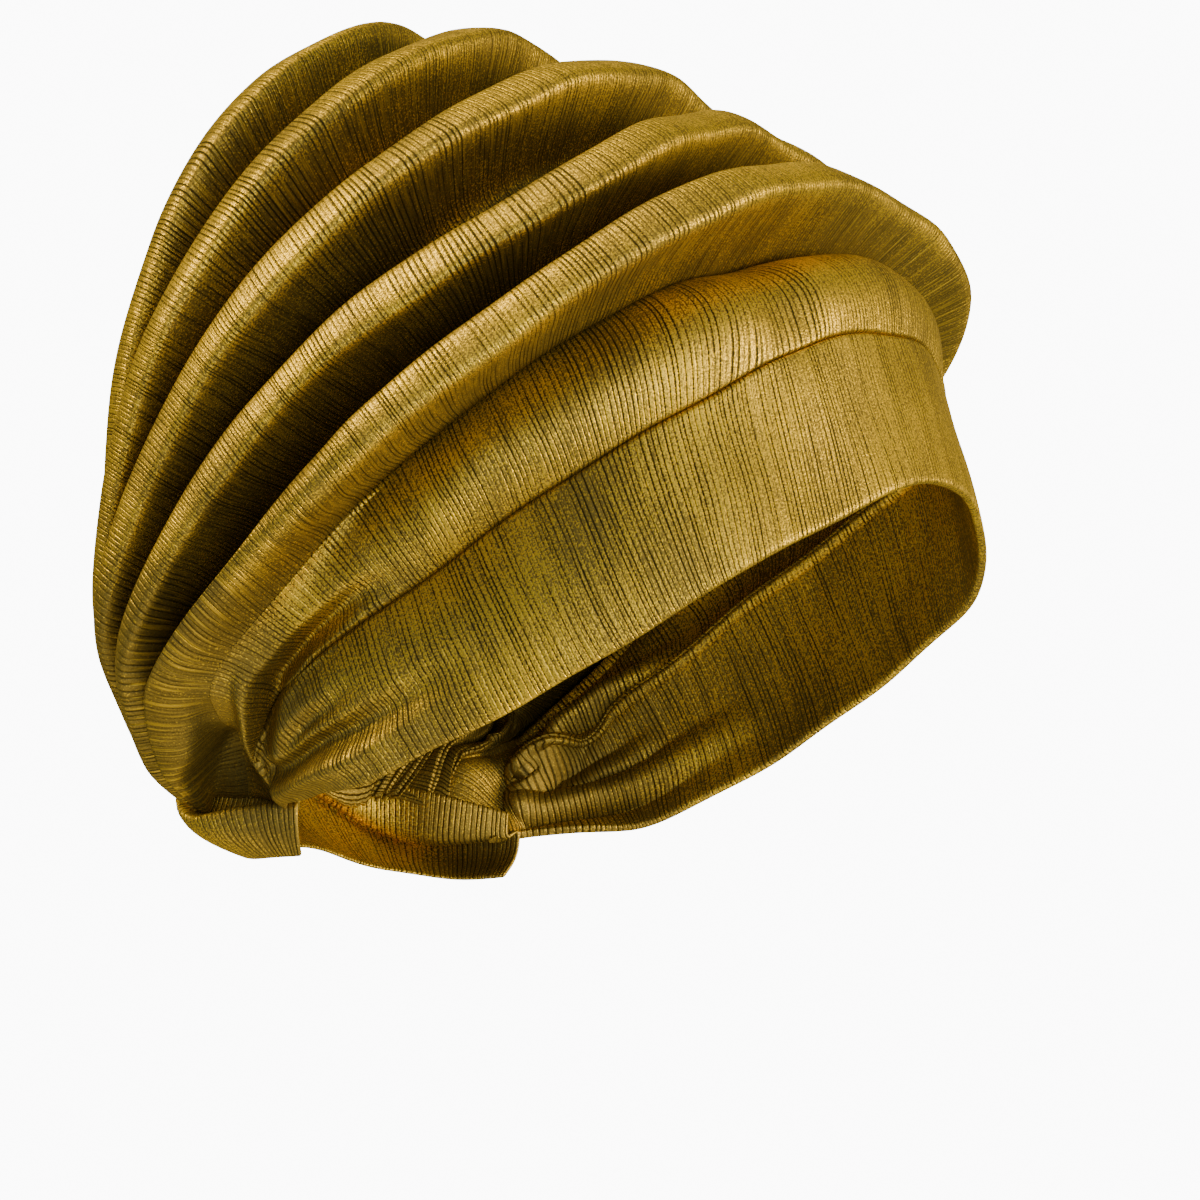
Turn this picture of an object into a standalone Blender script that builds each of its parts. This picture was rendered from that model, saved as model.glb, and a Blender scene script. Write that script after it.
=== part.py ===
"""A turban with five tall standing pleats, gathered behind the ears, modelled as worn.

Sizes are in millimetres until a mesh is made. +X is the wearer's left, -Y the front and +Z up. The origin is the
middle of the head opening. Every piece is a loft through a few lines that start on the middle plane at the crown
and run down one side, made whole by Mirror and given its cloth thickness by Solidify.
"""

from collections import namedtuple

import bmesh
import bpy
import numpy as np

NAME = "turban"
MM = 0.001
CLOTH = 1.2
BAND_CLOTH = 2.4
GAP = 0.5
MERGE = 0.00001

COLUMNS = 16
# Where the six named points of a line come, as a share of its run from the crown to its lower end.
RUN = (0.0, 0.22, 0.44, 0.66, 0.88, 1.0)

Line = namedtuple("Line", "crown shoulder side low heel end")

# The middle of each pleat's rim, front pleat first.
RIMS = (
    Line((0, -38.5, 133.5), (78.5, -34, 115), (115, 9, 57), (111, 55, -5), (79, 84, -42), (62, 84, -57)),
    Line((0, -7, 143), (81, -6, 119.5), (108, 43, 60), (103, 79, 0), (80, 91, -35), (59, 88, -54)),
    Line((0, 25.5, 152.5), (80, 32.5, 126.5), (105, 70, 66), (94, 96, 0), (74, 98, -32), (55.5, 92, -51)),
    Line((0, 71, 155), (71, 72.5, 128), (96, 95, 67), (85, 105, 1), (67.5, 103, -30), (52, 96, -48.5)),
    Line((0, 105, 152), (61, 108, 123), (78, 116, 67), (73, 112, 6), (60, 106.5, -28), (48, 99, -46)),
)
# A pleat stands up from its foot, which lies this deep below its rim, towards this point inside the head.
PLEAT_DEPTH = Line(26, 30, 33, 28, 26, 21)
LEANS_TO = Line((0, 36, 31), (0, 36, 31), (0, 36, 31), (0, 66, -15), (50, 0, -2), (50, 30, -36))
# Front pleats stand more upright over the crown and shoulders: how far back the point lies there, pleat by pleat.
Lean = namedtuple("Lean", "crown shoulder")
UPPER_LEANS = (Lean(-7, 15), Lean(23, 30), Lean(36, 36), Lean(44, 39), Lean(36, 36))
RIM_THICK = Line(12.5, 12.5, 11.5, 8, 5.8, 4.4)
FOOT_THICK = Line(9.5, 9.5, 8.5, 4.4, 3.4, 2.8)
# Its section over the rim, front to back: how far forward in half thicknesses, and how far down in rim rounds.
RIM_ROUND = 2.6
RimPoint = namedtuple("RimPoint", "forward down")
RIM_SECTION = (RimPoint(1, 1), RimPoint(0.7, 0.2), RimPoint(0, 0), RimPoint(-0.7, 0.2), RimPoint(-1, 1))

# The band and the roll above it.
HEM = Line((0, -79, 63), (52, -70, 43), (72, -41, 11), (78, 12, -33), (70, 37, -45), (60, 59, -51))
SEAM = Line((0, -58, 97), (58, -47, 77.5), (78, -6, 35), (80, 41, -12), (72, 56, -34), (63, 61, -43.5))
BAND_BULGE = Line(0.5, 0, 2.5, 3, 2.5, 1)
ROLL_BULGE = Line(11, 6.5, 6, 4, 2, 0.5)
ROLL_ROWS = 7
BAND_ROWS = 6

# The cloth behind the last pleat, and the piece that closes the nape under the ends of the pleats.
BACK_TOP = Line((0, 105, 108), (36, 104, 87), (45, 104, 50), (37, 107, -4), (50, 88, -22), (44, 84, -42))
BACK_MIDDLE = Line((0, 122, 45), (18, 121, 38), (26, 118, 22), (26, 112, -14), (32, 104, -30), (34, 94, -43))
BACK_FOOT = Line((0, 109, -41), (8, 108.6, -41), (15, 107, -41.5), (22, 104, -42), (28, 99, -43), (32, 95, -44))
BACK_ROWS = 7

Ring = namedtuple("Ring", "middle quarter corner side front")
RING_RUN = (0.0, 0.3, 0.62, 0.82, 1.0)
NAPE_LEDGE = Ring((0, 108, -42.5), (28, 99, -45), (47, 82, -47.5), (54, 67, -52.5), (54, 56, -53))
NAPE_EDGE = Ring((0, 111, -45), (31, 104, -50), (58.5, 84, -60), (59.5, 69, -57.5), (57, 54, -54))
NAPE_BULGE = Ring((0, 103, -56), (28, 94, -59.5), (54, 80, -63), (57, 66, -62), (56, 53, -58))
NAPE_HEM = Ring((0, 84, -62), (24, 81, -62.5), (43, 71, -63), (50, 61, -63), (52, 53, -62))
NAPE_COLUMNS = 12
NAPE_ROWS = 8

CLOTH_COLOUR = {
    "front_band": (0.42, 0.27, 0.03),
    "crown_roll": (0.40, 0.26, 0.03),
    "pleat": (0.36, 0.23, 0.025),
    "back_panel": (0.33, 0.21, 0.025),
    "nape_band": (0.33, 0.21, 0.025),
}
CLOTH_ROUGHNESS = 0.5


def unit(vectors):
    return vectors / np.linalg.norm(vectors, axis=-1, keepdims=True)


def spline(knots, values, at):
    """A natural cubic spline through values at knots, read at these places."""
    step = np.diff(knots)
    slope = np.diff(values, axis=0) / step[:, None]
    count = len(knots)
    system = np.eye(count)
    target = np.zeros_like(values)
    for i in range(1, count - 1):
        system[i, i - 1 : i + 2] = step[i - 1], 2 * (step[i - 1] + step[i]), step[i]
        target[i] = 6 * (slope[i] - slope[i - 1])
    bend = np.linalg.solve(system, target)
    i = np.clip(np.searchsorted(knots, at, side="right") - 1, 0, count - 2)
    after = (at - knots[i])[:, None]
    before = (knots[i + 1] - at)[:, None]
    width = step[i][:, None]
    return (
        (bend[i] * before**3 + bend[i + 1] * after**3) / (6 * width)
        + (values[i] / width - bend[i] * width / 6) * before
        + (values[i + 1] / width - bend[i + 1] * width / 6) * after
    )


def line(points, run=RUN, columns=COLUMNS):
    """A smooth line from the middle plane down one side, level where it crosses that plane."""
    half = np.array(points, float)
    run = np.array(run)
    whole = np.concatenate([half[:0:-1] * (-1, 1, 1), half])
    knots = np.concatenate([-run[:0:-1], run])
    return spline(knots, whole, np.linspace(0, 1, columns + 1))


def direction(points):
    """The way that a line runs at each of its columns: straight across at the middle plane."""
    along = np.gradient(points, axis=0)
    along[0] = (1, 0, 0)
    return unit(along)


def sizes(values):
    """A size that changes along a line, one value for each of its columns."""
    half = np.array(values, float)[:, None]
    run = np.array(RUN)
    whole = np.concatenate([half[:0:-1], half])
    knots = np.concatenate([-run[:0:-1], run])
    return spline(knots, whole, np.linspace(0, 1, COLUMNS + 1))


def arch(low, high, bulge, rows):
    """Rows of a surface from one line to another, bulging outwards between them."""
    across = high - low
    out = unit(np.cross(direction((low + high) / 2), across))
    t = np.linspace(0, 1, rows)[:, None, None]
    return low + across * t + out * bulge * 4 * t * (1 - t)


def through(lines, rows):
    """Rows of a surface that runs smoothly through several lines."""
    stack = np.array(lines)
    knots = np.linspace(0, 1, len(lines))
    flat = spline(knots, stack.reshape(len(lines), -1), np.linspace(0, 1, rows))
    return flat.reshape(rows, *stack.shape[1:])


def drawn_back(edge, inner, gap):
    """An edge row moved this far towards the row beside it, square to the edge."""
    run = direction(edge)
    across = inner - edge
    across = across - run * (across * run).sum(axis=1, keepdims=True)
    return edge + unit(across) * gap


def material(name, colour):
    cloth = bpy.data.materials.new(name)
    cloth.use_nodes = True
    shader = cloth.node_tree.nodes["Principled BSDF"]
    shader.inputs["Base Color"].default_value = (*colour, 1)
    shader.inputs["Roughness"].default_value = CLOTH_ROUGHNESS
    shader.inputs["Metallic"].default_value = 0
    return cloth


def cloth_piece(name, rows, thickness, colour):
    """One solid of cloth: half a loft, mirrored in the middle plane and thickened inwards."""
    mesh = bpy.data.meshes.new(name)
    loft = bmesh.new()
    grid = [[loft.verts.new(point * MM) for point in row] for row in rows]
    for lower, upper in zip(grid, grid[1:]):
        for a, b, c, d in zip(lower, lower[1:], upper[1:], upper):
            loft.faces.new((a, b, c, d))
    loft.to_mesh(mesh)
    loft.free()
    mesh.shade_smooth()
    piece = bpy.data.objects.new(name, mesh)
    bpy.data.collections[NAME].objects.link(piece)
    mirror = piece.modifiers.new("other side", "MIRROR")
    mirror.merge_threshold = MERGE
    cloth = piece.modifiers.new("cloth", "SOLIDIFY")
    cloth.thickness = thickness * MM
    cloth.offset = -1
    cloth.use_even_offset = True
    mesh.materials.append(material(name, colour))
    return piece


def pleat_feet():
    """The front foot of each pleat, and behind the last one the line where the back panel starts."""
    feet = []
    for rim, lean in zip(RIMS, UPPER_LEANS):
        crown = (0, lean.crown, LEANS_TO.crown[2])
        shoulder = (0, lean.shoulder, LEANS_TO.shoulder[2])
        points = []
        for at_rim, depth, towards in zip(rim, PLEAT_DEPTH, (crown, shoulder, *LEANS_TO[2:])):
            top = np.array(at_rim, float)
            points.append(top + unit(np.array(towards, float) - top) * depth)
        feet.append(line(points))
    return feet + [line(BACK_TOP)]


def pleat_rows(foot, rim, next_foot, floor_before):
    """The section of a pleat, column by column: floor, front wall, rounded rim, back wall, floor."""
    across = unit(np.cross(rim - foot, direction(rim)))
    behind = foot + across * sizes(FOOT_THICK)
    up = unit(rim - (foot + behind) / 2)
    half = sizes(RIM_THICK) / 2
    rows = [foot, (foot + rim - across * half) / 2]
    for point in RIM_SECTION:
        rows.append(rim - across * half * point.forward - up * RIM_ROUND * point.down)
    rows += [(behind + rim + across * half) / 2, behind]
    floor_after = (behind + next_foot) / 2
    rows.append(drawn_back(floor_after, behind, GAP / 2))
    if floor_before is not None:
        rows.insert(0, drawn_back(floor_before, foot, GAP / 2))
    return rows, floor_after


def make_pleats():
    """Makes the pleats from the front, and gives the middle of the floor behind the last one."""
    feet = pleat_feet()
    floor = None
    for number, (foot, rim, next_foot) in enumerate(zip(feet, RIMS, feet[1:]), start=1):
        rows, floor = pleat_rows(foot, line(rim), next_foot, floor)
        cloth_piece(f"pleat_{number}", rows, CLOTH, CLOTH_COLOUR["pleat"])
    return floor


def make_front():
    hem, seam, crease = line(HEM), line(SEAM), pleat_feet()[0]
    band = list(arch(hem, seam, sizes(BAND_BULGE), BAND_ROWS))
    band[-1] = drawn_back(band[-1], band[-2], GAP)
    cloth_piece("front_band", band, BAND_CLOTH, CLOTH_COLOUR["front_band"])
    roll = list(arch(seam, crease, sizes(ROLL_BULGE), ROLL_ROWS))
    roll[-1] = drawn_back(roll[-1], roll[-2], GAP)
    cloth_piece("crown_roll", roll, CLOTH, CLOTH_COLOUR["crown_roll"])


def make_back(floor):
    top, middle, foot = line(BACK_TOP), line(BACK_MIDDLE), line(BACK_FOOT)
    rows = [drawn_back(floor, top, GAP / 2), *through([top, middle, foot], BACK_ROWS)]
    rows[-1] = drawn_back(rows[-1], rows[-2], GAP)
    rows.reverse()
    cloth_piece("back_panel", rows, CLOTH, CLOTH_COLOUR["back_panel"])
    rings = (NAPE_LEDGE, NAPE_EDGE, NAPE_BULGE, NAPE_HEM)
    lines = [line(ring, RING_RUN, NAPE_COLUMNS) for ring in rings]
    rows = list(through(lines, NAPE_ROWS))
    rows.reverse()
    cloth_piece("nape_band", rows, CLOTH, CLOTH_COLOUR["nape_band"])


def main():
    for old in list(bpy.data.objects):
        bpy.data.objects.remove(old)
    bpy.context.scene.collection.children.link(bpy.data.collections.new(NAME))
    make_front()
    make_back(make_pleats())


main()
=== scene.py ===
"""The looks of a ready-tied turban of ribbed, glittering knit.

It has a band, a roll, five standing pleats, a back panel and a nape band. Every cloth piece is a loft
through the same few lines as the CAD model, from one end behind the ear over the crown to the other end,
with its edges turned in where it meets its neighbour. Line tables are in millimetres.
"""

import math
from collections import namedtuple

import bmesh
import bpy
import numpy as np
from bpy.props import FloatProperty, FloatVectorProperty, IntProperty, PointerProperty
from mathutils import Matrix, Vector


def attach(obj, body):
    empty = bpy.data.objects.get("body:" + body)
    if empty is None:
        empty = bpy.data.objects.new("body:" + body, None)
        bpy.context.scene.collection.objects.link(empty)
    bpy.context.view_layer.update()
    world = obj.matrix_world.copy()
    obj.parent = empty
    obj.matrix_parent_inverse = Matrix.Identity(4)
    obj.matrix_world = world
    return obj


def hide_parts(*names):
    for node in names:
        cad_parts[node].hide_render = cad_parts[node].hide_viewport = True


bl_info = {
    "name": "Pleated turban",
    "version": (1, 0, 0),
    "blender": (4, 5, 0),
    "location": "View3D > Sidebar > Turban",
    "description": "Makes the cloth pieces of a pleated turban in ribbed knit, and a soft studio round it",
    "category": "Object",
}

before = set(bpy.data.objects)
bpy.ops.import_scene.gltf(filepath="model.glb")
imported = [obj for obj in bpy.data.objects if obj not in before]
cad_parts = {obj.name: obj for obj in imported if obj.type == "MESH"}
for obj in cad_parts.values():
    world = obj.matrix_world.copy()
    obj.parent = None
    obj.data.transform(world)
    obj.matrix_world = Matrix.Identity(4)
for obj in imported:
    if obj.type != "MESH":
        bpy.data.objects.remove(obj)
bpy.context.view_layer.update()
BODY = "root"
MM = 0.001
SENSOR_WIDTH = 36
FLOOR_RADIUS = 0.6
# The floor fades out between these shares of its radius.
FLOOR_FADE = (0.5, 0.98)

# Where the six named points of a line come, as a share of its run from the crown to its lower end.
RUN = (0.0, 0.22, 0.44, 0.66, 0.88, 1.0)
Line = namedtuple("Line", "crown shoulder side low heel end")

# The middle of each pleat's rim, front pleat first.
RIMS = (
    Line((0, -38.5, 133.5), (78.5, -34, 115), (115, 9, 57), (112, 57.5, -5), (80, 85.5, -42), (62, 84, -57)),
    Line((0, -7, 143), (81, -6, 119.5), (108, 43, 60), (103, 79, 0), (80, 91, -35), (59, 88, -54)),
    Line((0, 25.5, 152.5), (80, 32.5, 126.5), (105, 70, 66), (94, 96, 0), (74, 98, -32), (55.5, 92, -51)),
    Line((0, 71, 155), (71, 72.5, 128), (96, 95, 67), (85, 105, 1), (67.5, 103, -30), (52, 96, -48.5)),
    Line((0, 105, 152), (61, 108, 123), (78, 116, 67), (73, 112, 6), (60, 106.5, -28), (48, 99, -46)),
)
# A pleat stands up from its foot, which lies this deep below its rim, towards this point inside the head.
PLEAT_DEPTH = Line(26, 30, 33, 28, 26, 21)
LEANS_TO = Line((0, 36, 31), (0, 36, 31), (0, 36, 31), (0, 66, -15), (50, 0, -2), (50, 30, -36))
# Front pleats stand more upright over the crown and shoulders, where that point lies this far back.
Lean = namedtuple("Lean", "crown shoulder")
UPPER_LEANS = (Lean(-7, 15), Lean(23, 30), Lean(36, 36), Lean(44, 39), Lean(36, 36))
RIM_THICK = Line(12.5, 12.5, 11.5, 8, 5.8, 4.4)
FOOT_THICK = Line(9.5, 9.5, 8.5, 4.4, 3.4, 2.8)
# A pleat's walls bend at this share of the way from the foot to the rim.
WALL_BEND = 0.45
# The rim's section, front to back: how far forward in half thicknesses, and how far down in rim rounds.
RIM_ROUND = 2.6
RimPoint = namedtuple("RimPoint", "forward down")
RIM_SECTION = (
    RimPoint(1, 1.8),
    RimPoint(1, 0.75),
    RimPoint(0.9, 0.12),
    RimPoint(0.45, -0.05),
    RimPoint(-0.45, -0.05),
    RimPoint(-0.9, 0.12),
    RimPoint(-1, 0.75),
    RimPoint(-1, 1.8),
)

# The band and the roll above it.
HEM = Line((0, -79, 63), (52, -70, 43), (72, -41, 11), (78, 12, -33), (70, 37, -45), (60, 59, -51))
SEAM = Line((0, -58, 97), (58, -47, 77.5), (78, -6, 35), (80, 41, -12), (72, 56, -34), (63, 61, -43.5))
BAND_BULGE = Line(0.5, 0, 2.5, 3, 2.5, 1)
ROLL_BULGE = Line(11, 6.5, 6, 4, 2, 0.5)

# The cloth behind the last pleat.
BACK_TOP = Line((0, 105, 108), (36, 104, 87), (45, 104, 50), (37, 107, -4), (50, 88, -22), (44, 84, -42))
BACK_MIDDLE = Line((0, 122, 45), (18, 121, 38), (26, 118, 22), (26, 112, -14), (32, 104, -30), (34, 94, -43))
BACK_FOOT = Line(
    (0, 109, -41), (8, 108.6, -41), (15, 107, -41.5), (22, 104, -42), (28, 99, -43), (32, 95, -44)
)

# The piece that closes the nape. It rises inside the ends of the pieces, passes under them and folds at its
# edge.
Ring = namedtuple("Ring", "middle quarter corner side front")
RING_RUN = (0.0, 0.3, 0.62, 0.82, 1.0)
NAPE_LEDGE = Ring((0, 106.5, -40), (28, 97.5, -42), (44, 82, -42), (46.5, 67, -41.5), (54.5, 52, -43))
NAPE_CHANNEL = Ring((0, 108, -45), (27, 98, -48), (46, 80, -57.5), (48.5, 67, -57), (55, 51, -51))
NAPE_EDGE = Ring((0, 110, -45), (29, 101.5, -48.5), (56.5, 83.5, -57), (60.5, 69, -54), (58.5, 50, -47.5))
NAPE_BULGE = Ring((0, 103, -55), (27, 92.5, -57), (52.5, 79, -60.5), (58, 66, -59), (57.5, 49, -53.5))
NAPE_HEM = Ring((0, 84, -62), (24, 81, -62.5), (43, 70.5, -63), (50, 61, -62.5), (53, 49, -59.5))

# The folds that run out of the gather behind each ear, and the dent of the roll. Each has the way out of the
# cloth there, and a line of points on the left side with the fold's height and half width. A trough's height
# is negative.
Fold = namedtuple("Fold", "out points")
FoldPoint = namedtuple("FoldPoint", "x y z height width")
DEEP_FOLD = Fold(
    (0.85, -0.25, -0.45),
    (
        FoldPoint(85, 22, 13.5, 0, 2.6),
        FoldPoint(85, 32.5, 3.5, -3, 2.8),
        FoldPoint(83.5, 43.5, -9.5, -8, 2.8),
        FoldPoint(80.5, 51, -21, -10, 2.8),
        FoldPoint(73, 54.5, -35, -6.5, 2.6),
        FoldPoint(64, 57, -45, -1, 2.4),
    ),
)
SEAM_LIP = Fold(
    (0.8, 0, -0.4),
    (
        FoldPoint(84, 29, 4, 0, 1.9),
        FoldPoint(81.5, 42.5, -12.5, 1.8, 1.8),
        FoldPoint(79.5, 47, -20, 1.8, 1.6),
        FoldPoint(78, 50, -28, 1, 1.4),
    ),
)
SHORT_FOLD = Fold(
    (0.93, 0.15, -0.3),
    (
        FoldPoint(82.8, 27, -14, 0, 2.4),
        FoldPoint(82.3, 33.5, -23.5, -2.6, 2.3),
        FoldPoint(81, 40, -28.5, -4.2, 2.1),
        FoldPoint(75, 48, -36, -2.5, 1.8),
    ),
)
LONG_FOLD = Fold(
    (0.9, 0.05, -0.4),
    (
        FoldPoint(81.5, -5, -1.5, 0, 4),
        FoldPoint(82, 14, -16.5, -2.4, 3.6),
        FoldPoint(81.5, 27, -28, -5, 3.1),
        FoldPoint(78.5, 40.5, -36.5, -6.5, 2.6),
        FoldPoint(68, 54, -43, -3.5, 2.2),
    ),
)
HEM_LIP = Fold(
    (0.75, 0.1, -0.65),
    (
        FoldPoint(80.5, 6, -17.5, 0, 2.8),
        FoldPoint(79.5, 28, -35, 1.6, 2.6),
        FoldPoint(71, 45.5, -43, 2.4, 2.5),
        FoldPoint(64, 53, -46.5, 1.6, 2.2),
    ),
)
BACK_LIP = Fold(
    (0.75, -0.2, -0.6),
    (
        FoldPoint(85, 57, -15, 0, 2.2),
        FoldPoint(81.5, 57.5, -22.5, 1.4, 2),
        FoldPoint(73, 58.5, -33, 2.6, 1.9),
        FoldPoint(60, 61.5, -46, 2.6, 1.8),
    ),
)
POCKET = Fold(
    (0.65, -0.3, -0.68),
    (
        FoldPoint(80, 64, -25, 0, 7),
        FoldPoint(73, 66, -35, -5, 6),
        FoldPoint(66, 67.5, -42, -14, 6.5),
        FoldPoint(59, 72, -51, -15, 9),
    ),
)
ROLL_DENT = Fold(
    (0.22, -0.67, 0.71),
    (
        FoldPoint(50, -55, 84, 0, 8),
        FoldPoint(47, -50, 96, -2.6, 9),
        FoldPoint(45, -40, 108, -2.2, 9),
    ),
)
FOLDS = (DEEP_FOLD, SEAM_LIP, SHORT_FOLD, LONG_FOLD, HEM_LIP, BACK_LIP, POCKET, ROLL_DENT)
# A fold's height falls off with this power of the distance to its line. It reaches this far down, so that
# what lies under it gives way.
FOLD_POWER = 3
FOLD_REACH = 0.018
# Along this share of its run a piece's end is drawn into the channel of the nape, at most this share of the
# way, and its seams grow tight.
TUCK_RUN = (0.955, 1.0)
TUCK_MOST = 0.9
CHANNEL_POINTS = 121
TIGHT_RUN = (0.9, 0.97)
# A tight or merged seam keeps this share of its roundness and depth.
SEAM_LEFT = 0.1
# Along these shares of its run the roll passes into the first pleat without a crease, the knit grows calm,
# and its ribs grow faint.
MERGE_RUN = (0.48, 0.7)
CALM_RUN = (0.55, 0.85)
FAINT_RUN = (0.68, 0.84)
# The cheek of the first pleat ends over this distance from its joint with the roll, and the roll's ribs grow
# faint over this share of its height.
CHEEK_END = (0.02, 0.03)
ROLL_CLIMB = (0.2, 0.9)
# A pleat's painted wall shade starts over this distance from the middle of its rim, in half rims. Its
# painted highlight threads, standing for light that reaches only the top of the wall, fade out over this
# distance in metres below the rim.
WALL_START = (1.0, 1.5)
THREAD_REACH = (0.007, 0.022)


class TurbanCloth(bpy.types.PropertyGroup):
    thickness: FloatProperty(
        name="Cloth",
        description="Thickness of the knit",
        default=0.0012,
        min=0.0005,
        max=0.003,
        unit="LENGTH",
    )
    band_thickness: FloatProperty(
        name="Band",
        description="Thickness of the doubled front band",
        default=0.0024,
        max=0.005,
        unit="LENGTH",
    )
    joint: FloatProperty(
        name="Joint",
        description="Space between two pieces where they are sewn",
        default=0.0003,
        unit="LENGTH",
    )
    turned_in: FloatProperty(
        name="Turned in",
        description="How deep a piece's edge turns in at a joint",
        default=0.0035,
        unit="LENGTH",
    )
    edge_round: FloatProperty(
        name="Edge round",
        description="Radius of a piece's edge at a joint",
        default=0.0007,
        unit="LENGTH",
    )
    tuck: FloatProperty(
        name="Tuck",
        description="How far the pieces' ends are drawn into the nape's channel",
        default=0.009,
        unit="LENGTH",
    )
    unevenness: FloatProperty(
        name="Unevenness",
        description="How far the cloth wanders from its line",
        default=0.0006,
        unit="LENGTH",
    )
    columns: IntProperty(
        name="Columns",
        description="Mesh columns from the crown to one ear",
        default=90,
        min=20,
        max=160,
    )
    row_height: FloatProperty(
        name="Row height",
        description="Widest space between two mesh rows of the band and the roll",
        default=0.0024,
        min=0.001,
        unit="LENGTH",
    )


class TurbanKnit(bpy.types.PropertyGroup):
    groove: FloatVectorProperty(
        name="Groove",
        description="Colour between the ribs",
        default=(0.060, 0.045, 0.014),
        subtype="COLOR",
    )
    yarn: FloatVectorProperty(
        name="Yarn",
        description="Colour of the ribs",
        default=(0.34, 0.238, 0.048),
        subtype="COLOR",
    )
    # The glints paint this colour into the base colour: partly the metal thread's own brighter colour,
    # partly a painted highlight of its glitter.
    glint: FloatVectorProperty(
        name="Glint",
        description="Colour of the metal thread",
        default=(0.80, 0.530, 0.045),
        subtype="COLOR",
    )
    rib_pitch: FloatProperty(
        name="Rib pitch",
        description="Mean space between two grooves",
        default=0.0014,
        unit="LENGTH",
    )
    rib_height: FloatProperty(
        name="Rib height",
        description="Depth of the grooves between the ribs",
        default=0.0005,
        unit="LENGTH",
    )
    speckle: FloatProperty(
        name="Speckle",
        description="Size of the sparkling specks of metal thread",
        default=0.0005,
        unit="LENGTH",
    )
    roughness: FloatProperty(
        name="Roughness",
        description="Roughness of the yarn",
        default=0.52,
        min=0,
        max=1,
    )


class TurbanStage(bpy.types.PropertyGroup):
    turn: FloatProperty(
        name="Turn",
        description="Camera's way round the turban",
        default=math.radians(-62),
        subtype="ANGLE",
    )
    roll: FloatProperty(
        name="Roll",
        description="Camera's roll",
        default=math.radians(12),
        subtype="ANGLE",
    )
    distance: FloatProperty(
        name="Distance",
        description="Camera's distance from its target",
        default=1.5,
        unit="LENGTH",
    )
    target: FloatVectorProperty(
        name="Target",
        description="Point that the camera looks at",
        default=(0.01427, 0.01715, 0.01725),
        subtype="TRANSLATION",
    )
    lens: FloatProperty(
        name="Lens",
        description="Camera's focal length in millimetres",
        default=175.5,
        min=1,
    )
    floor_drop: FloatProperty(
        name="Floor",
        description="Floor's depth below the head opening's middle",
        default=0.6,
        unit="LENGTH",
    )
    pale: FloatVectorProperty(
        name="Pale",
        description="Colour of the floor and the room",
        default=(0.9, 0.9, 0.9),
        subtype="COLOR",
    )
    room_light: FloatProperty(
        name="Room light",
        description="Strength of the light that the room gives",
        default=0.31,
        min=0,
    )
    room_tint: FloatVectorProperty(
        name="Room tint",
        description="Colour of the light that the room gives",
        default=(0.6, 0.72, 1.0),
        subtype="COLOR",
    )
    room_white: FloatProperty(
        name="Room white",
        description="Strength of the room as the background",
        default=12.0,
        min=0,
    )


def unit(vectors):
    return vectors / np.linalg.norm(vectors, axis=-1, keepdims=True)


def spline(knots, values, at):
    """A natural cubic spline through values at knots, read at these places."""
    step = np.diff(knots)
    slope = np.diff(values, axis=0) / step[:, None]
    count = len(knots)
    system = np.eye(count)
    target = np.zeros_like(values)
    for i in range(1, count - 1):
        system[i, i - 1 : i + 2] = step[i - 1], 2 * (step[i - 1] + step[i]), step[i]
        target[i] = 6 * (slope[i] - slope[i - 1])
    bend = np.linalg.solve(system, target)
    i = np.clip(np.searchsorted(knots, at, side="right") - 1, 0, count - 2)
    after = (at - knots[i])[:, None]
    before = (knots[i + 1] - at)[:, None]
    width = step[i][:, None]
    return (
        (bend[i] * before**3 + bend[i + 1] * after**3) / (6 * width)
        + (values[i] / width - bend[i] * width / 6) * before
        + (values[i + 1] / width - bend[i + 1] * width / 6) * after
    )


def places(cloth):
    """Where the mesh columns come: -1 at the right ear, 0 at the crown, 1 at the left ear."""
    return np.linspace(-1, 1, 2 * cloth.columns + 1)


def line(points, at, run=RUN):
    """A smooth line from ear to ear through the points of a table, both sides alike."""
    half = np.array(points, float) * MM
    knots = np.array(run)
    whole = np.concatenate([half[:0:-1] * (-1, 1, 1), half])
    return spline(np.concatenate([-knots[:0:-1], knots]), whole, at)


def sizes(values, at):
    """A size that changes along a line, both sides alike."""
    half = np.array(values, float)[:, None] * MM
    knots = np.array(RUN)
    whole = np.concatenate([half[:0:-1], half])
    return spline(np.concatenate([-knots[:0:-1], knots]), whole, at)


def direction(points):
    """The way that a line runs at each of its columns."""
    return unit(np.gradient(points, axis=0))


def square_to(run, vectors):
    return vectors - run * (vectors * run).sum(axis=-1, keepdims=True)


def rounded(rows, rounds=4):
    """Rows of a smooth surface that follows these rows with their corners cut."""
    stack = np.array(rows)
    for _ in range(rounds):
        near = stack[:-1] * 0.75 + stack[1:] * 0.25
        far = stack[:-1] * 0.25 + stack[1:] * 0.75
        cut = np.stack([near, far], axis=1).reshape(-1, *stack.shape[1:])
        stack = np.concatenate([stack[:1], cut, stack[-1:]])
    return stack


def spaced(rows, row_height):
    """The same surface with its rows evenly spaced in each column."""
    stack = np.array(rows)
    steps = np.linalg.norm(np.diff(stack, axis=0), axis=2)
    walked = np.concatenate([np.zeros((1, stack.shape[1])), np.cumsum(steps, axis=0)])
    count = int(np.ceil(walked[-1].max() / row_height)) + 1
    even = np.empty((count, *stack.shape[1:]))
    for column in range(stack.shape[1]):
        marks = np.linspace(0, walked[-1, column], count)
        for axis in range(3):
            even[:, column, axis] = np.interp(marks, walked[:, column], stack[:, column, axis])
    return even


def arch(low, high, bulge, rows=24):
    """Rows of a surface from one line to another, bulging outwards between them."""
    across = high - low
    out = unit(np.cross(direction((low + high) / 2), across))
    t = np.linspace(0, 1, rows)[:, None, None]
    return low + across * t + out * bulge * 4 * t * (1 - t)


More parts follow.
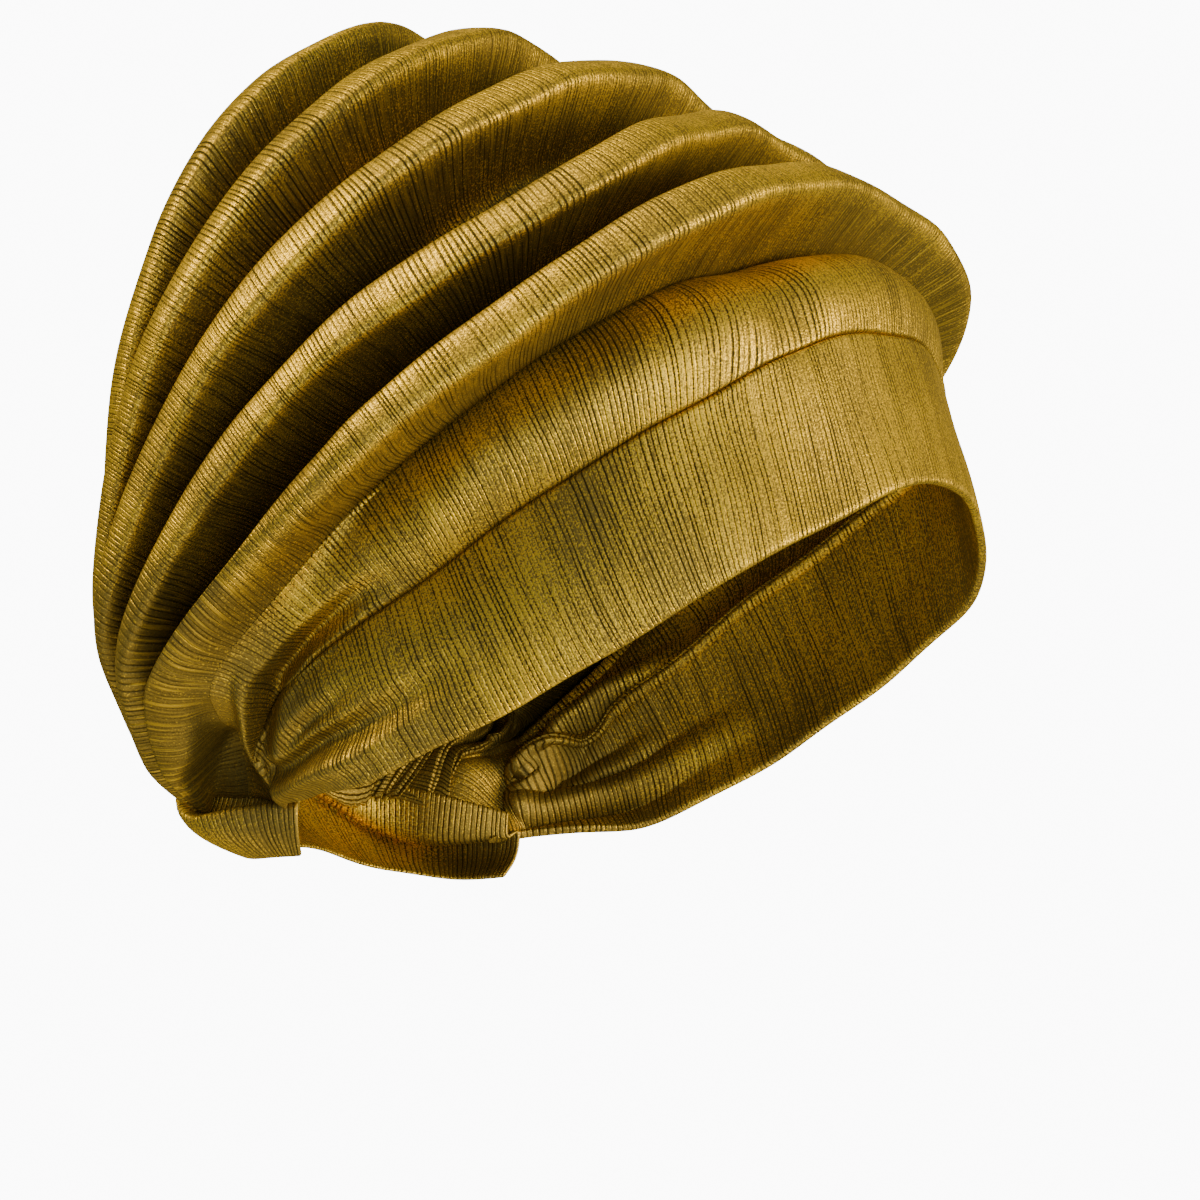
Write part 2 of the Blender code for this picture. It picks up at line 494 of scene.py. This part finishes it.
def through(lines, rows=32):
    """Rows of a surface that runs smoothly through several lines."""
    stack = np.array(lines)
    flat = spline(np.linspace(0, 1, len(lines)), stack.reshape(len(lines), -1), np.linspace(0, 1, rows))
    return flat.reshape(rows, *stack.shape[1:])


def pleat_feet(at):
    """The front foot of each pleat, and behind the last one the line where the back panel starts."""
    feet = []
    for rim, lean in zip(RIMS, UPPER_LEANS):
        crown = (0, lean.crown, LEANS_TO.crown[2])
        shoulder = (0, lean.shoulder, LEANS_TO.shoulder[2])
        points = []
        for at_rim, depth, towards in zip(rim, PLEAT_DEPTH, (crown, shoulder, *LEANS_TO[2:])):
            top = np.array(at_rim, float)
            points.append(top + unit(np.array(towards, float) - top) * depth)
        feet.append(line(points, at))
    return feet + [line(BACK_TOP, at)]


def pleat_section(foot, rim, next_foot, floor_before, at):
    """The rows of a pleat, front to back, and the middle line of the floor behind it."""
    across = unit(np.cross(rim - foot, direction(rim)))
    behind = foot + across * sizes(FOOT_THICK, at)
    up = unit(rim - (foot + behind) / 2)
    half = sizes(RIM_THICK, at) / 2
    corners = [foot, foot * (1 - WALL_BEND) + (rim - across * half) * WALL_BEND]
    for point in RIM_SECTION:
        corners.append(rim - across * half * point.forward - up * RIM_ROUND * MM * point.down)
    corners += [behind * (1 - WALL_BEND) + (rim + across * half) * WALL_BEND, behind]
    floor_after = (behind + next_foot) / 2
    if floor_before is not None:
        corners.insert(0, floor_before)
    return corners + [floor_after], floor_after


def sheets(cloth):
    """The rows of every piece from hem to nape, each starting where the last one ends."""
    at = places(cloth)
    hem, seam, feet = line(HEM, at), line(SEAM, at), pleat_feet(at)
    made = {"front_band": arch(hem, seam, sizes(BAND_BULGE, at))}
    made["crown_roll"] = arch(seam, feet[0], sizes(ROLL_BULGE, at))
    floor = None
    for number, (foot, rim, next_foot) in enumerate(zip(feet, RIMS, feet[1:]), start=1):
        corners, floor = pleat_section(foot, line(rim, at), next_foot, floor, at)
        made[f"pleat_{number}"] = rounded(corners)
    back = [floor, *through([line(BACK_TOP, at), line(BACK_MIDDLE, at), line(BACK_FOOT, at)])]
    made["back_panel"] = np.array(back)
    return made


def smooth_step(value, low, high):
    t = np.clip((value - low) / (high - low), 0, 1)
    return t * t * (3 - 2 * t)


def fold_height(points, out, line_points):
    """How far a fold lifts each of these points, which lie at the wearer's left, along its way out."""
    table = np.array(line_points) * MM
    nearest = np.full(points.shape[:-1], np.inf)
    lift = np.zeros(points.shape[:-1])
    for start, end in zip(table, table[1:]):
        way = end[:3] - start[:3]
        t = np.clip(((points - start[:3]) @ way) / (way @ way), 0, 1)
        offset = points - start[:3] - t[..., None] * way
        depth = offset @ out
        away = np.linalg.norm(offset - out * depth[..., None], axis=-1)
        height, width = (start[k] + (end[k] - start[k]) * t for k in (3, 4))
        here = height * np.exp(-((away / width) ** FOLD_POWER) - (depth / FOLD_REACH) ** 2)
        lift = np.where(away < nearest, here, lift)
        nearest = np.minimum(away, nearest)
    return lift


def folded(points):
    """Points of the cloth moved by the folds of the gathers and the dents of the roll, both sides alike."""
    side = np.where(points[..., :1] < 0, -1.0, 1.0)
    mirror = np.concatenate([side, np.ones_like(side), np.ones_like(side)], axis=-1)
    left = points * mirror
    moved = left.copy()
    for fold in FOLDS:
        out = unit(np.array(fold.out))
        moved += out * fold_height(left, out, fold.points)[..., None]
    return moved * mirror


def tucked(points, at, depth):
    """Points of the cloth with the ends of the pieces drawn into the channel of the nape."""
    channel = line(NAPE_CHANNEL, np.linspace(-1, 1, CHANNEL_POINTS), RING_RUN)
    ways = channel - points[..., None, :]
    nearest = np.linalg.norm(ways, axis=-1).argmin(axis=-1)
    way = np.take_along_axis(ways, nearest[..., None, None], axis=-2)[..., 0, :]
    distance = np.linalg.norm(way, axis=-1, keepdims=True)
    share = smooth_step(np.abs(at), *TUCK_RUN)[:, None]
    return points + way / distance * np.minimum(depth, distance * TUCK_MOST) * share


def eased(low, high, share, rounds=90, reach=16):
    """The rows of two neighbours, with the crease between them smoothed away where share is 1."""
    stack = np.concatenate([low, high[1:]])
    joint = len(low) - 1
    inner = slice(2, joint + reach)
    for _ in range(rounds):
        middle = (stack[1 : joint + reach - 1] + stack[3 : joint + reach + 1]) / 2
        stack[inner] += (middle - stack[inner]) * (0.5 * share[:, None])
    return stack[: joint + 1], stack[joint:]


def edge_normal(edge, inner, runs_up):
    """The way out of the cloth at its edge row."""
    across = square_to(direction(edge), edge - inner if runs_up else inner - edge)
    return unit(np.cross(direction(edge), across))


# The tall pieces have their mesh rows this much further apart than the band and the roll.
WIDE_ROWS = 1.3
EDGE_SUPPORT = 0.0004
# How far an edge that is turned in crosses its neighbour's at the bottom, in joints.
EDGE_LAP = 1.5
# The middle of the round lies this share of its radius away from both of its ends' lines.
EDGE_MIDDLE = 0.3
TURNED_ROWS = 5


def turned_edge(edge, inner, down, side, cloth, flat, deep):
    """Rows that carry an edge round a small radius and down inside, nearest row first.

    At the bottom it crosses its neighbour's to the given side. flat is the share of its roundness, and deep
    the share of its depth.
    """
    away = unit(square_to(direction(edge), edge - inner))
    start = edge - away * (cloth.joint / 2) * flat
    r = cloth.edge_round * flat
    return [
        start - away * (r + EDGE_SUPPORT),
        start - away * r,
        start - away * r * EDGE_MIDDLE + down * r * EDGE_MIDDLE,
        start + down * r,
        edge + side * cloth.joint * EDGE_LAP * deep + down * (r + cloth.turned_in * deep),
    ]


def joined_rows(made, cloth):
    """Every piece evenly spaced, with both edges of each joint turned in side by side."""
    names = list(made)
    at = places(cloth)
    even = {}
    for name, rows in made.items():
        coarser = 1 if name in ("front_band", "crown_roll") else WIDE_ROWS
        even[name] = spaced(rows, cloth.row_height * coarser)
    merged = smooth_step(np.abs(at), *MERGE_RUN)
    even["crown_roll"], even["pleat_1"] = eased(even["crown_roll"], even["pleat_1"], merged)
    even = {name: tucked(folded(rows), at, cloth.tuck) for name, rows in even.items()}
    out = {name: list(rows) for name, rows in even.items()}
    flush = 1 - (1 - SEAM_LEFT) * merged[:, None]
    loose = 1 - (1 - SEAM_LEFT) * smooth_step(np.abs(at), *TIGHT_RUN)[:, None]
    for low, high in zip(names, names[1:]):
        a, b = even[low], even[high]
        flat = loose * flush if low == "crown_roll" else loose
        down = -unit(edge_normal(a[-1], a[-2], True) + edge_normal(b[0], b[1], False))
        side = unit(square_to(direction(a[-1]), unit(a[-1] - a[-2]) - unit(b[0] - b[1])))
        out[low] = out[low][:-1] + turned_edge(a[-1], a[-2], down, side, cloth, flat, loose)
        out[high] = turned_edge(b[0], b[1], down, -side, cloth, flat, loose)[::-1] + out[high][1:]
    return out


# The lengths of the waves by which the cloth wanders, in metres, and how many there are of each.
WAVES = (0.11, 0.07, 0.045, 0.03)
WAYS = 4
SEED = 7


def wandering(points, height):
    """Moves points by a slow, smooth unevenness that neighbours share."""
    random = np.random.default_rng(SEED)
    moved = points.copy()
    for wave in WAVES:
        for _ in range(WAYS):
            way, shift = unit(random.normal(size=3)), unit(random.normal(size=3))
            phase = random.uniform(0, math.tau)
            moved += shift * (height * 0.5) * np.sin(points @ way * (math.tau / wave) + phase)[..., None]
    return moved


# How far the ribs lean over towards the crown for each metre that they climb, near the ears.
BAND_LEAN = 0.3
ROLL_LEAN = 0.62
LEAN_RUN = (0.05, 0.3)


def rib_places(name, grid, walked, at):
    """How far along the piece each point of the grid lies, counted so that a rib keeps to one number."""
    paces = np.linalg.norm(np.diff(grid, axis=1), axis=2)
    if name == "crown_roll_cloth":
        pace = paces[-TURNED_ROWS]
    elif name.startswith("pleat"):
        pace = paces[TURNED_ROWS]
    else:
        pace = paces.mean(axis=0)
    run = np.concatenate([[0], np.cumsum(pace)])
    run -= run[len(at) // 2]
    lean = np.sign(at) * smooth_step(np.abs(at), *LEAN_RUN)
    if name == "front_band_cloth":
        return run + BAND_LEAN * lean * walked
    if name == "crown_roll_cloth":
        climbed = walked - walked**2 / (2 * walked[-1])
        return run + ROLL_LEAN * lean * climbed - ROLL_LEAN * lean * walked[-1] / 2
    return np.broadcast_to(run, walked.shape)


def faintness(name, walked, at):
    """How faint the ribs are: on the smooth cheek of the first pleat, and on the roll towards it."""
    share = smooth_step(np.abs(at), *FAINT_RUN)
    if name == "pleat_1_cloth":
        return share * (1 - smooth_step(walked, *CHEEK_END))
    if name == "crown_roll_cloth":
        return share * smooth_step(walked / walked[-1], *ROLL_CLIMB)
    return np.zeros_like(walked)


def wall_shares(name, grid, at):
    """How much painted shade each point of the grid takes as a pleat's wall, and how much painted highlight
    thread it takes close below the rim.
    """
    if not name.startswith("pleat"):
        return np.zeros(grid.shape[:2]), np.zeros(grid.shape[:2])
    rim = line(RIMS[int(name.split("_")[1]) - 1], at)
    drop = np.linalg.norm(grid - rim, axis=-1)
    wall_shade = smooth_step(drop / (sizes(RIM_THICK, at)[:, 0] / 2), *WALL_START)
    return wall_shade, wall_shade * (1 - smooth_step(drop, *THREAD_REACH))


# The shares that a cloth mesh holds for each of its points, which its material reads.
# Two of these shares place painted shade on the pleats' walls and painted highlight threads close below the
# rims.
LAYERS = ("calm", "faint", "wall_shade", "lit_below_rim")


def cloth_object(name, rows, at, thickness, cloth):
    """A piece of knit: a grid of rows and columns with its own cloth map, thickened inwards and smoothed."""
    grid = wandering(np.array(rows), cloth.unevenness)
    steps = np.linalg.norm(np.diff(grid, axis=0), axis=2)
    walked = np.concatenate([np.zeros((1, grid.shape[1])), np.cumsum(steps, axis=0)])
    along = rib_places(name, grid, walked, at)
    mesh = bpy.data.meshes.new(name)
    loft = bmesh.new()
    cloth_map = loft.loops.layers.uv.new("cloth")
    layers = [loft.verts.layers.float.new(layer) for layer in LAYERS]
    verts = [[loft.verts.new(point) for point in row] for row in grid]
    calm = np.broadcast_to(smooth_step(np.abs(at), *CALM_RUN), walked.shape)
    shares = np.stack([calm, faintness(name, walked, at), *wall_shares(name, grid, at)], axis=-1)
    for row, row_shares in zip(verts, shares):
        for vert, vert_shares in zip(row, row_shares):
            for layer, share in zip(layers, vert_shares):
                vert[layer] = share
    for i in range(len(verts) - 1):
        for j in range(len(at) - 1):
            corners = ((i, j), (i, j + 1), (i + 1, j + 1), (i + 1, j))
            face = loft.faces.new([verts[r][c] for r, c in corners])
            for loop, (r, c) in zip(face.loops, corners):
                loop[cloth_map].uv = along[r, c], walked[r, c]
    loft.to_mesh(mesh)
    loft.free()
    mesh.shade_smooth()
    piece = bpy.data.objects.new(name, mesh)
    bpy.context.scene.collection.objects.link(piece)
    thick = piece.modifiers.new("cloth", "SOLIDIFY")
    thick.thickness = thickness
    thick.offset = -1
    soft = piece.modifiers.new("soft", "SUBSURF")
    soft.levels = soft.render_levels = 1
    return piece


def dress(piece, node, material):
    piece.data.materials.append(material)
    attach(piece, BODY)
    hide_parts(node)


class Nodes:
    """Adds nodes to a material's tree and links what is given to their inputs."""

    def __init__(self, material):
        material.use_nodes = True
        self.tree = material.node_tree

    def add(self, kind, inputs=None, **settings):
        made = self.tree.nodes.new(kind)
        for key, value in settings.items():
            setattr(made, key, value)
        for key, value in (inputs or {}).items():
            if isinstance(value, bpy.types.NodeSocket):
                self.tree.links.new(value, made.inputs[key])
            else:
                made.inputs[key].default_value = value
        return made

    def math(self, operation, a, b=0.0, c=0.0):
        return self.add("ShaderNodeMath", {0: a, 1: b, 2: c}, operation=operation).outputs[0]

    def between(self, value, low, high, to_low=0.0, to_high=1.0):
        """value scaled so that low to high becomes to_low to to_high, smoothly and held at both ends."""
        given = {"Value": value, "From Min": low, "From Max": high, "To Min": to_low, "To Max": to_high}
        return self.add("ShaderNodeMapRange", given, interpolation_type="SMOOTHSTEP").outputs["Result"]

    def weighed(self, start, *parts):
        """start and the sum of the parts, each a weight and a value."""
        total = start
        for weight, value in parts:
            total = self.math("MULTIPLY_ADD", value, weight, total)
        return total

    def mix_value(self, share, a, b):
        return self.add("ShaderNodeMix", {0: share, 2: a, 3: b}).outputs[0]

    def mix(self, share, a, b):
        return self.add("ShaderNodeMix", {0: share, 6: a, 7: b}, data_type="RGBA").outputs[2]

    def layer(self, name):
        """A share that the mesh holds for each of its points."""
        return self.add("ShaderNodeAttribute", attribute_name=name).outputs["Fac"]


# The size of the grains of the knit's noises in metres, along the piece and along a rib.
Grain = namedtuple("Grain", "along across")
WOBBLE_GRAIN = Grain(0.012, 0.04)
GROOVE_GRAIN = Grain(0.0026, 0.06)
STREAK_GRAIN = Grain(0.0006, 0.016)
PATCH_GRAIN = Grain(0.03, 0.045)
THREAD_GRAIN = Grain(0.0008, 0.03)
# How far a rib wobbles sideways, and a groove's half width in ribs.
WOBBLE = 0.0012
GROOVE_WIDTH = 0.25
# On the pleats the grooves come this much closer, and are this much fainter, than on the band.
PLEAT_PITCH = 0.8
PLEAT_GROOVE = 0.85
# These pieces read the noises this far along, in metres, so that their grain differs from their neighbours'.
KNIT_OFFSETS = {"front_band": 0.4, "nape_band": 0.8}


def knit_material(name, knit, offset, pitch_share=1.0, groove_share=1.0):
    """Ribbed knit with a metal thread: uneven grooves, fine grain, painted glints, painted highlight threads
    and painted wall shade.
    """
    material = bpy.data.materials.new(name)
    nodes = Nodes(material)
    shader = nodes.tree.nodes["Principled BSDF"]
    place = nodes.add("ShaderNodeUVMap", uv_map="cloth").outputs["UV"]
    split = nodes.add("ShaderNodeSeparateXYZ", {"Vector": place}).outputs
    along = nodes.math("ADD", split["X"], offset)
    across = split["Y"]

    def cloth_noise(grain, detail=2.0, roughness=0.5):
        x = nodes.math("MULTIPLY", along, 1 / grain.along)
        y = nodes.math("MULTIPLY", across, 1 / grain.across)
        where = nodes.add("ShaderNodeCombineXYZ", {"X": x, "Y": y, "Z": offset * 31}).outputs[0]
        given = {"Vector": where, "Scale": 1.0, "Detail": detail, "Roughness": roughness}
        return nodes.add("ShaderNodeTexNoise", given).outputs["Fac"]

    # The ribs and the grooves between them, fainter where the knit is calm.
    calm, faint, wall_shade, lit_below_rim = (nodes.layer(layer) for layer in LAYERS)
    wobble = nodes.math("MULTIPLY", nodes.math("SUBTRACT", cloth_noise(WOBBLE_GRAIN), 0.5), WOBBLE)
    ribs_at = nodes.math("MULTIPLY", nodes.math("ADD", along, wobble), 1 / (knit.rib_pitch * pitch_share))
    given = {"W": ribs_at, "Scale": 1.0, "Randomness": 0.7}
    flat = {"voronoi_dimensions": "1D"}
    edges = nodes.add("ShaderNodeTexVoronoi", given, feature="DISTANCE_TO_EDGE", **flat).outputs["Distance"]
    cells = nodes.add("ShaderNodeTexVoronoi", given, feature="F1", **flat).outputs["Color"]
    rib_tone = nodes.add("ShaderNodeSeparateColor", {"Color": cells}).outputs[0]
    uneven = nodes.between(cloth_noise(GROOVE_GRAIN), 0.34, 0.64, 0.25, 1.0)
    strength = nodes.mix_value(calm, uneven, nodes.weighed(0.4, (0.45, uneven)))
    strength = nodes.math("MULTIPLY", strength, nodes.weighed(groove_share, (-0.68 * groove_share, faint)))
    groove = nodes.math("MULTIPLY", nodes.between(edges, 0.0, GROOVE_WIDTH, 1.0, 0.0), strength)

    # Fine grain the same every way, streaks along the ribs, broad patches, and painted highlight threads
    # below the rims.
    spot = nodes.add("ShaderNodeTexCoord").outputs["Object"]
    given = {"Vector": spot, "Scale": 1 / knit.speckle, "Detail": 1.0, "Roughness": 0.6}
    grain = nodes.add("ShaderNodeTexNoise", given).outputs["Fac"]
    streak = cloth_noise(STREAK_GRAIN, roughness=0.6)
    patch = cloth_noise(PATCH_GRAIN)
    thread = nodes.between(cloth_noise(THREAD_GRAIN, detail=1.0), 0.54, 0.62)

    height = nodes.weighed(0.8, (-0.8, groove), (0.3, grain), (0.3, streak))
    bump = nodes.add("ShaderNodeBump", {"Strength": 1.0, "Distance": knit.rib_height, "Height": height})
    # The knit's tone: random grain, ribs, streaks and patches, darker in the grooves, and darker on the
    # pleats' walls, which is painted shade of the valleys between the pleats.
    tone = nodes.weighed(
        -0.07, (0.65, grain), (0.12, rib_tone), (0.6, streak), (0.25, patch), (-0.85, groove), (-0.24, wall_shade)
    )
    body = nodes.mix(nodes.between(tone, -0.2, 1.05), (*knit.groove, 1), (*knit.yarn, 1))
    # Where the glints come: fewer where the knit is calm, and fewer on the pleats' walls, which is painted
    # shade.
    sparkle = nodes.weighed(
        grain, (0.3, streak), (-0.2, groove), (0.5, patch), (-0.14, calm), (-0.12, wall_shade)
    )
    # Bright threads only close below a rim, fading deeper down: a painted highlight where light reaches the
    # wall.
    lit_thread = nodes.math("MULTIPLY", nodes.math("MULTIPLY", thread, lit_below_rim), 0.5)
    glints = nodes.math("MAXIMUM", nodes.between(sparkle, 0.80, 1.04), lit_thread)

    links = nodes.tree.links
    # Base colour lightened towards the glint colour by the glints and threads: painted highlight, partly the
    # thread's own colour.
    links.new(nodes.mix(glints, body, (*knit.glint, 1)), shader.inputs["Base Color"])
    links.new(nodes.weighed(knit.roughness, (-0.1, glints)), shader.inputs["Roughness"])
    links.new(bump.outputs["Normal"], shader.inputs["Normal"])
    shader.inputs["Metallic"].default_value = 0.85
    shader.inputs["Specular IOR Level"].default_value = 0.3
    shader.inputs["Specular Tint"].default_value = (1.0, 0.7, 0.1, 1)
    shader.inputs["Sheen Weight"].default_value = 0.04
    shader.inputs["Sheen Roughness"].default_value = 0.4
    shader.inputs["Sheen Tint"].default_value = (1.0, 0.7, 0.08, 1)
    return material


def make_pieces(context, names):
    """Makes the named cloth pieces, each in its own knit."""
    cloth, knit = context.scene.turban_cloth, context.scene.turban_knit
    at = places(cloth)
    rows = joined_rows(sheets(cloth), cloth)
    for name in names:
        thickness = cloth.band_thickness if name == "front_band" else cloth.thickness
        piece = cloth_object(f"{name}_cloth", rows[name], at, thickness, cloth)
        if name.startswith("pleat"):
            material = knit_material(f"{name} knit", knit, 0.0, PLEAT_PITCH, PLEAT_GROOVE)
        else:
            material = knit_material(f"{name} knit", knit, KNIT_OFFSETS.get(name, 0.0))
        dress(piece, name, material)


class TURBAN_OT_front_band(bpy.types.Operator):
    """Make the wide doubled band over the forehead and ears"""

    bl_idname = "turban.front_band"
    bl_label = "Front band"

    def execute(self, context):
        make_pieces(context, ["front_band"])
        return {"FINISHED"}


class TURBAN_OT_crown_roll(bpy.types.Operator):
    """Make the soft roll between the band's seam and the first pleat"""

    bl_idname = "turban.crown_roll"
    bl_label = "Crown roll"

    def execute(self, context):
        make_pieces(context, ["crown_roll"])
        return {"FINISHED"}


class TURBAN_OT_pleats(bpy.types.Operator):
    """Make the five standing pleats"""

    bl_idname = "turban.pleats"
    bl_label = "Pleats"

    def execute(self, context):
        make_pieces(context, [f"pleat_{number}" for number in range(1, len(RIMS) + 1)])
        return {"FINISHED"}


class TURBAN_OT_back_panel(bpy.types.Operator):
    """Make the cloth behind the last pleat"""

    bl_idname = "turban.back_panel"
    bl_label = "Back panel"

    def execute(self, context):
        make_pieces(context, ["back_panel"])
        return {"FINISHED"}


class TURBAN_OT_nape_band(bpy.types.Operator):
    """Make the piece that closes the nape"""

    bl_idname = "turban.nape_band"
    bl_label = "Nape band"

    def execute(self, context):
        cloth, knit = context.scene.turban_cloth, context.scene.turban_knit
        at = places(cloth)
        outer = through([line(ring, at, RING_RUN) for ring in (NAPE_EDGE, NAPE_BULGE, NAPE_HEM)])
        channel, ledge = (line(ring, at, RING_RUN) for ring in (NAPE_CHANNEL, NAPE_LEDGE))
        inner = rounded([outer[0], channel, ledge])[1:]
        rows = spaced(np.concatenate([outer[::-1], inner]), cloth.row_height)
        piece = cloth_object("nape_band_cloth", rows, at, cloth.thickness, cloth)
        dress(piece, "nape_band", knit_material("nape_band knit", knit, KNIT_OFFSETS["nape_band"]))
        return {"FINISHED"}


# How far each lamp stands from the target towards the camera, to the picture's right and up, in metres.
Lamp = namedtuple("Lamp", "name near right up size power colour")
LAMPS = (
    Lamp("key", 0.35, -1.2, 1.1, 0.5, 28, (1.0, 0.82, 0.4)),
    Lamp("front", 0.5, 1.5, 0.05, 0.6, 33, (1.0, 0.83, 0.45)),
    Lamp("top", 0.2, -0.2, 1.7, 0.8, 15, (1.0, 0.82, 0.4)),
    Lamp("fill", 1.2, 0.2, 0.0, 0.6, 6.5, (0.98, 0.95, 0.85)),
)


def picture_axes(stage):
    """The directions to the picture's right, up the picture and back to the camera."""
    back = Vector((math.sin(stage.turn), -math.cos(stage.turn), 0))
    level = Vector((0, 0, 1)).cross(back)
    right = level * math.cos(stage.roll) + Vector((0, 0, 1)) * math.sin(stage.roll)
    return right, back.cross(right), back


def add_lamp(lamp, stage):
    right, up, back = picture_axes(stage)
    data = bpy.data.lights.new(lamp.name, "AREA")
    data.shape = "DISK"
    data.size = lamp.size
    data.energy = lamp.power
    data.color = lamp.colour
    light = bpy.data.objects.new(lamp.name, data)
    bpy.context.scene.collection.objects.link(light)
    offset = back * lamp.near + right * lamp.right + up * lamp.up
    light.location = Vector(stage.target) + offset
    light.rotation_euler = (-offset).to_track_quat("-Z", "Y").to_euler()


def add_camera(stage):
    camera = bpy.data.objects.new("camera", bpy.data.cameras.new("camera"))
    camera.data.lens = stage.lens
    camera.data.sensor_width = SENSOR_WIDTH
    bpy.context.scene.collection.objects.link(camera)
    right, up, back = picture_axes(stage)
    turn = Matrix((right, up, back)).transposed().to_4x4()
    camera.matrix_world = Matrix.Translation(Vector(stage.target) + back * stage.distance) @ turn
    bpy.context.scene.camera = camera


def add_floor(stage):
    """A round pale floor whose edge fades into the room."""
    mesh = bpy.data.meshes.new("floor")
    shape = bmesh.new()
    bmesh.ops.create_circle(shape, cap_ends=True, segments=64, radius=FLOOR_RADIUS)
    shape.to_mesh(mesh)
    shape.free()
    floor = bpy.data.objects.new("floor", mesh)
    floor.location.z = -stage.floor_drop
    bpy.context.scene.collection.objects.link(floor)
    material = bpy.data.materials.new("pale floor")
    nodes = Nodes(material)
    shader = nodes.tree.nodes["Principled BSDF"]
    shader.inputs["Base Color"].default_value = (*stage.pale, 1)
    shader.inputs["Roughness"].default_value = 0.9
    place = nodes.add("ShaderNodeTexCoord").outputs["Object"]
    out = nodes.add("ShaderNodeVectorMath", {0: place}, operation="LENGTH").outputs["Value"]
    fade = nodes.between(out, *(FLOOR_RADIUS * share for share in FLOOR_FADE))
    clear = nodes.add("ShaderNodeBsdfTransparent").outputs[0]
    mixed = nodes.add("ShaderNodeMixShader", {0: fade, 1: shader.outputs[0], 2: clear}).outputs[0]
    nodes.tree.links.new(mixed, nodes.tree.nodes["Material Output"].inputs["Surface"])
    mesh.materials.append(material)


def add_room(stage):
    """A dim pale room that is white where it is the background."""
    world = bpy.data.worlds.new("pale room")
    nodes = Nodes(world)
    background = nodes.tree.nodes["Background"]
    seen = nodes.add("ShaderNodeLightPath").outputs["Is Camera Ray"]
    tint = nodes.mix(seen, (*stage.room_tint, 1), (*stage.pale, 1))
    nodes.tree.links.new(tint, background.inputs["Color"])
    strength = nodes.between(seen, 0.0, 1.0, stage.room_light, stage.room_white)
    nodes.tree.links.new(strength, background.inputs["Strength"])
    bpy.context.scene.world = world


class TURBAN_OT_stage(bpy.types.Operator):
    """Make the floor, the room, the lights and the camera"""

    bl_idname = "turban.stage"
    bl_label = "Stage"

    def execute(self, context):
        stage = context.scene.turban_stage
        add_room(stage)
        add_floor(stage)
        for lamp in LAMPS:
            add_lamp(lamp, stage)
        add_camera(stage)
        return {"FINISHED"}


PIECE_OPERATORS = (
    TURBAN_OT_front_band,
    TURBAN_OT_crown_roll,
    TURBAN_OT_pleats,
    TURBAN_OT_back_panel,
    TURBAN_OT_nape_band,
    TURBAN_OT_stage,
)


class TURBAN_PT_panel(bpy.types.Panel):
    """Sizes and colours of the turban, and a button for each of its pieces"""

    bl_idname = "TURBAN_PT_panel"
    bl_label = "Pleated turban"
    bl_space_type = "VIEW_3D"
    bl_region_type = "UI"
    bl_category = "Turban"

    def draw(self, context):
        for operator in PIECE_OPERATORS:
            self.layout.operator(operator.bl_idname)
        scene = context.scene
        for group in (scene.turban_cloth, scene.turban_knit, scene.turban_stage):
            box = self.layout.box()
            for name in group.__annotations__:
                box.prop(group, name)


CLASSES = (TurbanCloth, TurbanKnit, TurbanStage, *PIECE_OPERATORS, TURBAN_PT_panel)


def register():
    for made in CLASSES:
        bpy.utils.register_class(made)
    bpy.types.Scene.turban_cloth = PointerProperty(type=TurbanCloth)
    bpy.types.Scene.turban_knit = PointerProperty(type=TurbanKnit)
    bpy.types.Scene.turban_stage = PointerProperty(type=TurbanStage)


def unregister():
    del bpy.types.Scene.turban_stage
    del bpy.types.Scene.turban_knit
    del bpy.types.Scene.turban_cloth
    for made in reversed(CLASSES):
        bpy.utils.unregister_class(made)


def main():
    register()
    bpy.ops.turban.stage()
    bpy.ops.turban.front_band()
    bpy.ops.turban.crown_roll()
    bpy.ops.turban.pleats()
    bpy.ops.turban.back_panel()
    bpy.ops.turban.nape_band()


if __name__ == "__main__":
    main()
